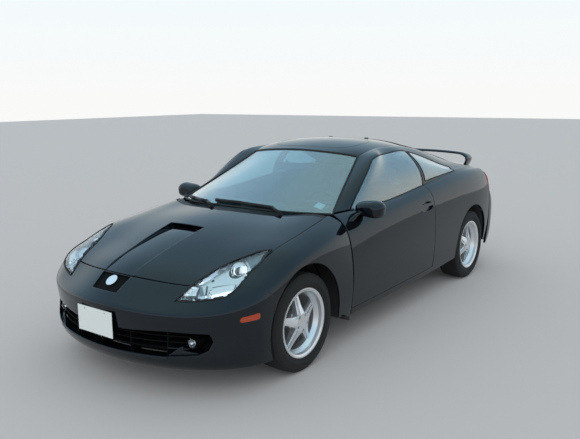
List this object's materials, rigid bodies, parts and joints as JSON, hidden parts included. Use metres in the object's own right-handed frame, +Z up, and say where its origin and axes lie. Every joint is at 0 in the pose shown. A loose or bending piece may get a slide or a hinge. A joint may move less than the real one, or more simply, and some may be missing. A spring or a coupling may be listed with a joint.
{
  "type": "coupe car",
  "caption": "Two-door liftback coupe with opening doors, bonnet and tailgate, steered front wheels and free-rolling road wheels on a hollow cabin body",
  "frame": {"origin": "on the ground under the middle of the car's length and width", "axes": "+X to the car's left, +Y to its tail, +Z up; the nose points to -Y"},
  "size_m": [1.9172, 4.3351, 1.3056],
  "materials": {
    "body_paint": "high gloss",
    "underbody": "satin",
    "black_plastic": "matte",
    "lamp_lens": "clear",
    "amber_lens": "gloss",
    "plate_sheet": "blank white",
    "tail_lens": "gloss",
    "glass": "tinted",
    "seat_cloth": "woven",
    "cast_alloy": "as cast",
    "chassis_iron": "painted",
    "rubber": "matte",
    "alloy": "silver lacquer"
  },
  "bodies": {
    "shell": {"front_bumper": "body_paint", "rear_bumper": "body_paint", "roof": "body_paint", "tail_corners": "body_paint", "fender_left": "body_paint", "fender_right": "body_paint", "quarter_left": "body_paint", "quarter_right": "body_paint", "side_frame_left": "body_paint", "side_frame_right": "body_paint", "floor_pan": "underbody", "engine_bay": "underbody", "grille": "black_plastic", "cowl": "black_plastic", "wipers": "black_plastic", "dashboard": "black_plastic", "interior_mirror": "black_plastic", "front_plate": "plate_sheet", "head_lamps": "lamp_lens", "fog_lamps": "lamp_lens", "side_markers": "amber_lens", "tail_lamps": "tail_lens", "windscreen": "glass", "quarter_glass": "glass", "front_seats": "seat_cloth", "rear_seat": "seat_cloth", "engine_block": "cast_alloy", "exhaust": "chassis_iron", "front_suspension": "chassis_iron", "rear_suspension": "chassis_iron"},
    "bonnet": {"bonnet": "body_paint"},
    "tailgate": {"tailgate": "body_paint", "tailgate_glass": "glass", "rear_wing": "body_paint"},
    "steering_wheel": {"steering_wheel": "black_plastic"},
    "door_left": {"door_left": "body_paint", "door_glass_left": "glass", "mirror_left": "body_paint"},
    "knuckle_left": {"front_knuckle_left": "chassis_iron"},
    "wheel_front_left": {"tyre_front_left": "rubber", "rim_front_left": "alloy"},
    "wheel_rear_left": {"tyre_rear_left": "rubber", "rim_rear_left": "alloy"},
    "door_right": {"door_right": "body_paint", "door_glass_right": "glass", "mirror_right": "body_paint"},
    "knuckle_right": {"front_knuckle_right": "chassis_iron"},
    "wheel_front_right": {"tyre_front_right": "rubber", "rim_front_right": "alloy"},
    "wheel_rear_right": {"tyre_rear_right": "rubber", "rim_rear_right": "alloy"}
  },
  "joints": [
    {"name": "bonnet_hinge", "type": "hinge", "parent": "shell", "child": "bonnet", "pos_m": [0, -0.79, 0.838], "axis": [-1, 0, 0], "range_deg": [0, 50]},
    {"name": "tailgate_hinge", "type": "hinge", "parent": "shell", "child": "tailgate", "pos_m": [0, 0.567, 1.291], "axis": [1, 0, 0], "range_deg": [0, 60]},
    {"name": "door_hinge_left", "type": "hinge", "parent": "shell", "child": "door_left", "pos_m": [0.842, -0.8, 0.408], "axis": [0, 0, -1], "range_deg": [0, 65]},
    {"name": "steer_left", "type": "hinge", "parent": "shell", "child": "knuckle_left", "pos_m": [0.64, -1.2825, 0.3057], "axis": [0, 0, 1], "range_deg": [-36, 36]},
    {"name": "front_left_wheel_spin", "type": "hinge", "parent": "knuckle_left", "child": "wheel_front_left", "pos_m": [0.745, -1.2825, 0.3057], "axis": [1, 0, 0], "continuous": true},
    {"name": "rear_left_wheel_spin", "type": "hinge", "parent": "shell", "child": "wheel_rear_left", "pos_m": [0.745, 1.3175, 0.3057], "axis": [1, 0, 0], "continuous": true},
    {"name": "door_hinge_right", "type": "hinge", "parent": "shell", "child": "door_right", "pos_m": [-0.842, -0.8, 0.408], "axis": [0, 0, 1], "range_deg": [0, 65]},
    {"name": "steer_right", "type": "hinge", "parent": "shell", "child": "knuckle_right", "pos_m": [-0.64, -1.2825, 0.3057], "axis": [0, 0, 1], "range_deg": [-36, 36]},
    {"name": "front_right_wheel_spin", "type": "hinge", "parent": "knuckle_right", "child": "wheel_front_right", "pos_m": [-0.745, -1.2825, 0.3057], "axis": [1, 0, 0], "continuous": true},
    {"name": "rear_right_wheel_spin", "type": "hinge", "parent": "shell", "child": "wheel_rear_right", "pos_m": [-0.745, 1.3175, 0.3057], "axis": [1, 0, 0], "continuous": true},
    {"name": "steering_wheel_turn", "type": "hinge", "parent": "shell", "child": "steering_wheel", "pos_m": [0.37, -0.33, 0.8], "axis": [0, 0.9063, 0.4226], "range_deg": [-540, 540]}
  ],
  "couplings": [
    {"joint": "steer_right", "follows": "steer_left", "ratio": 1},
    {"joint": "steering_wheel_turn", "follows": "steer_left", "ratio": 15}
  ]
}
